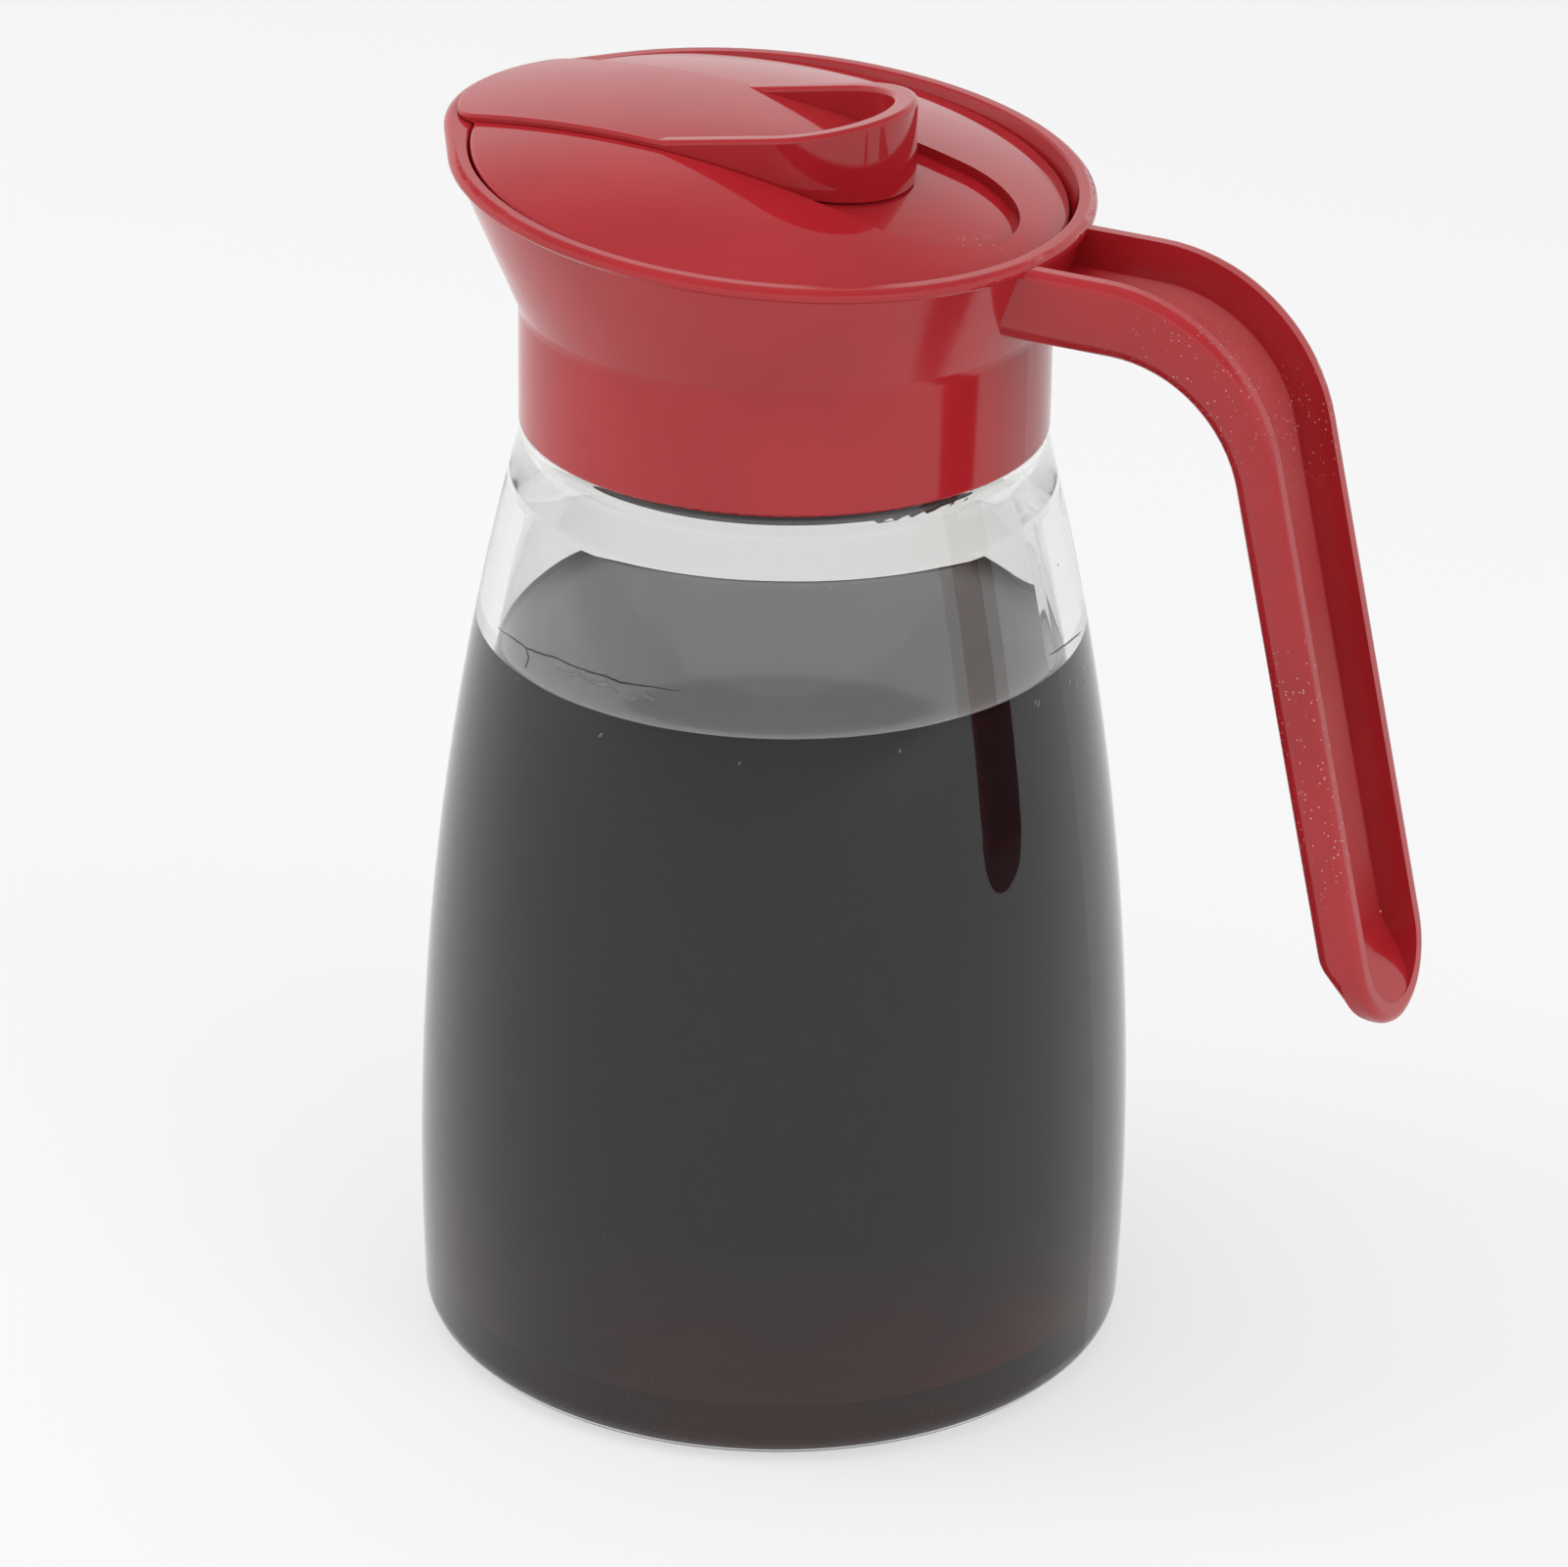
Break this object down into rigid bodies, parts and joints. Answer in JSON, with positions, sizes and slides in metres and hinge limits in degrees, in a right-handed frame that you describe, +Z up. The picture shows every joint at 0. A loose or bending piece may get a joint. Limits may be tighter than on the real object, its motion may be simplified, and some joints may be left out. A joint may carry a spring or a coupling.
{
  "type": "syrup dispenser",
  "caption": "Glass syrup jar with a screw-on red plastic pouring head: flared rim, domed deck, channel handle and a gate with a thumb loop that slides back to open the spout.",
  "frame": {"origin": "centre of the bottle's foot, on the plane it stands on", "axes": "+Z up, +X towards the handle, -X towards the spout"},
  "size_m": [0.1269, 0.088, 0.1597],
  "materials": {
    "clear_glass": "clear",
    "red_plastic": "high gloss",
    "seal_rubber": "soft matt"
  },
  "bodies": {
    "jar": {"glass_bottle": "clear_glass"},
    "seal": {"neck_seal": "seal_rubber"},
    "head": {"pouring_collar": "red_plastic", "lid_insert": "red_plastic"},
    "gate": {"slide_gate": "red_plastic"}
  },
  "joints": [
    {"name": "cap_lift", "type": "slide", "parent": "jar", "child": "seal", "axis": [0, 0, 1], "range_m": [0, 0.00526]},
    {"name": "cap_turn", "type": "hinge", "parent": "seal", "child": "head", "pos_m": [0, 0, 0.1316], "axis": [0, 0, 1], "range_deg": [0, 450]},
    {"name": "gate_slide", "type": "hinge", "parent": "head", "child": "gate", "pos_m": [-0.018, 0, 0.0168], "axis": [0, 1, 0], "range_deg": [0, 5.65]}
  ],
  "couplings": [
    {"joint": "cap_lift", "follows": "cap_turn", "m_per_rad": 0.00066845}
  ]
}
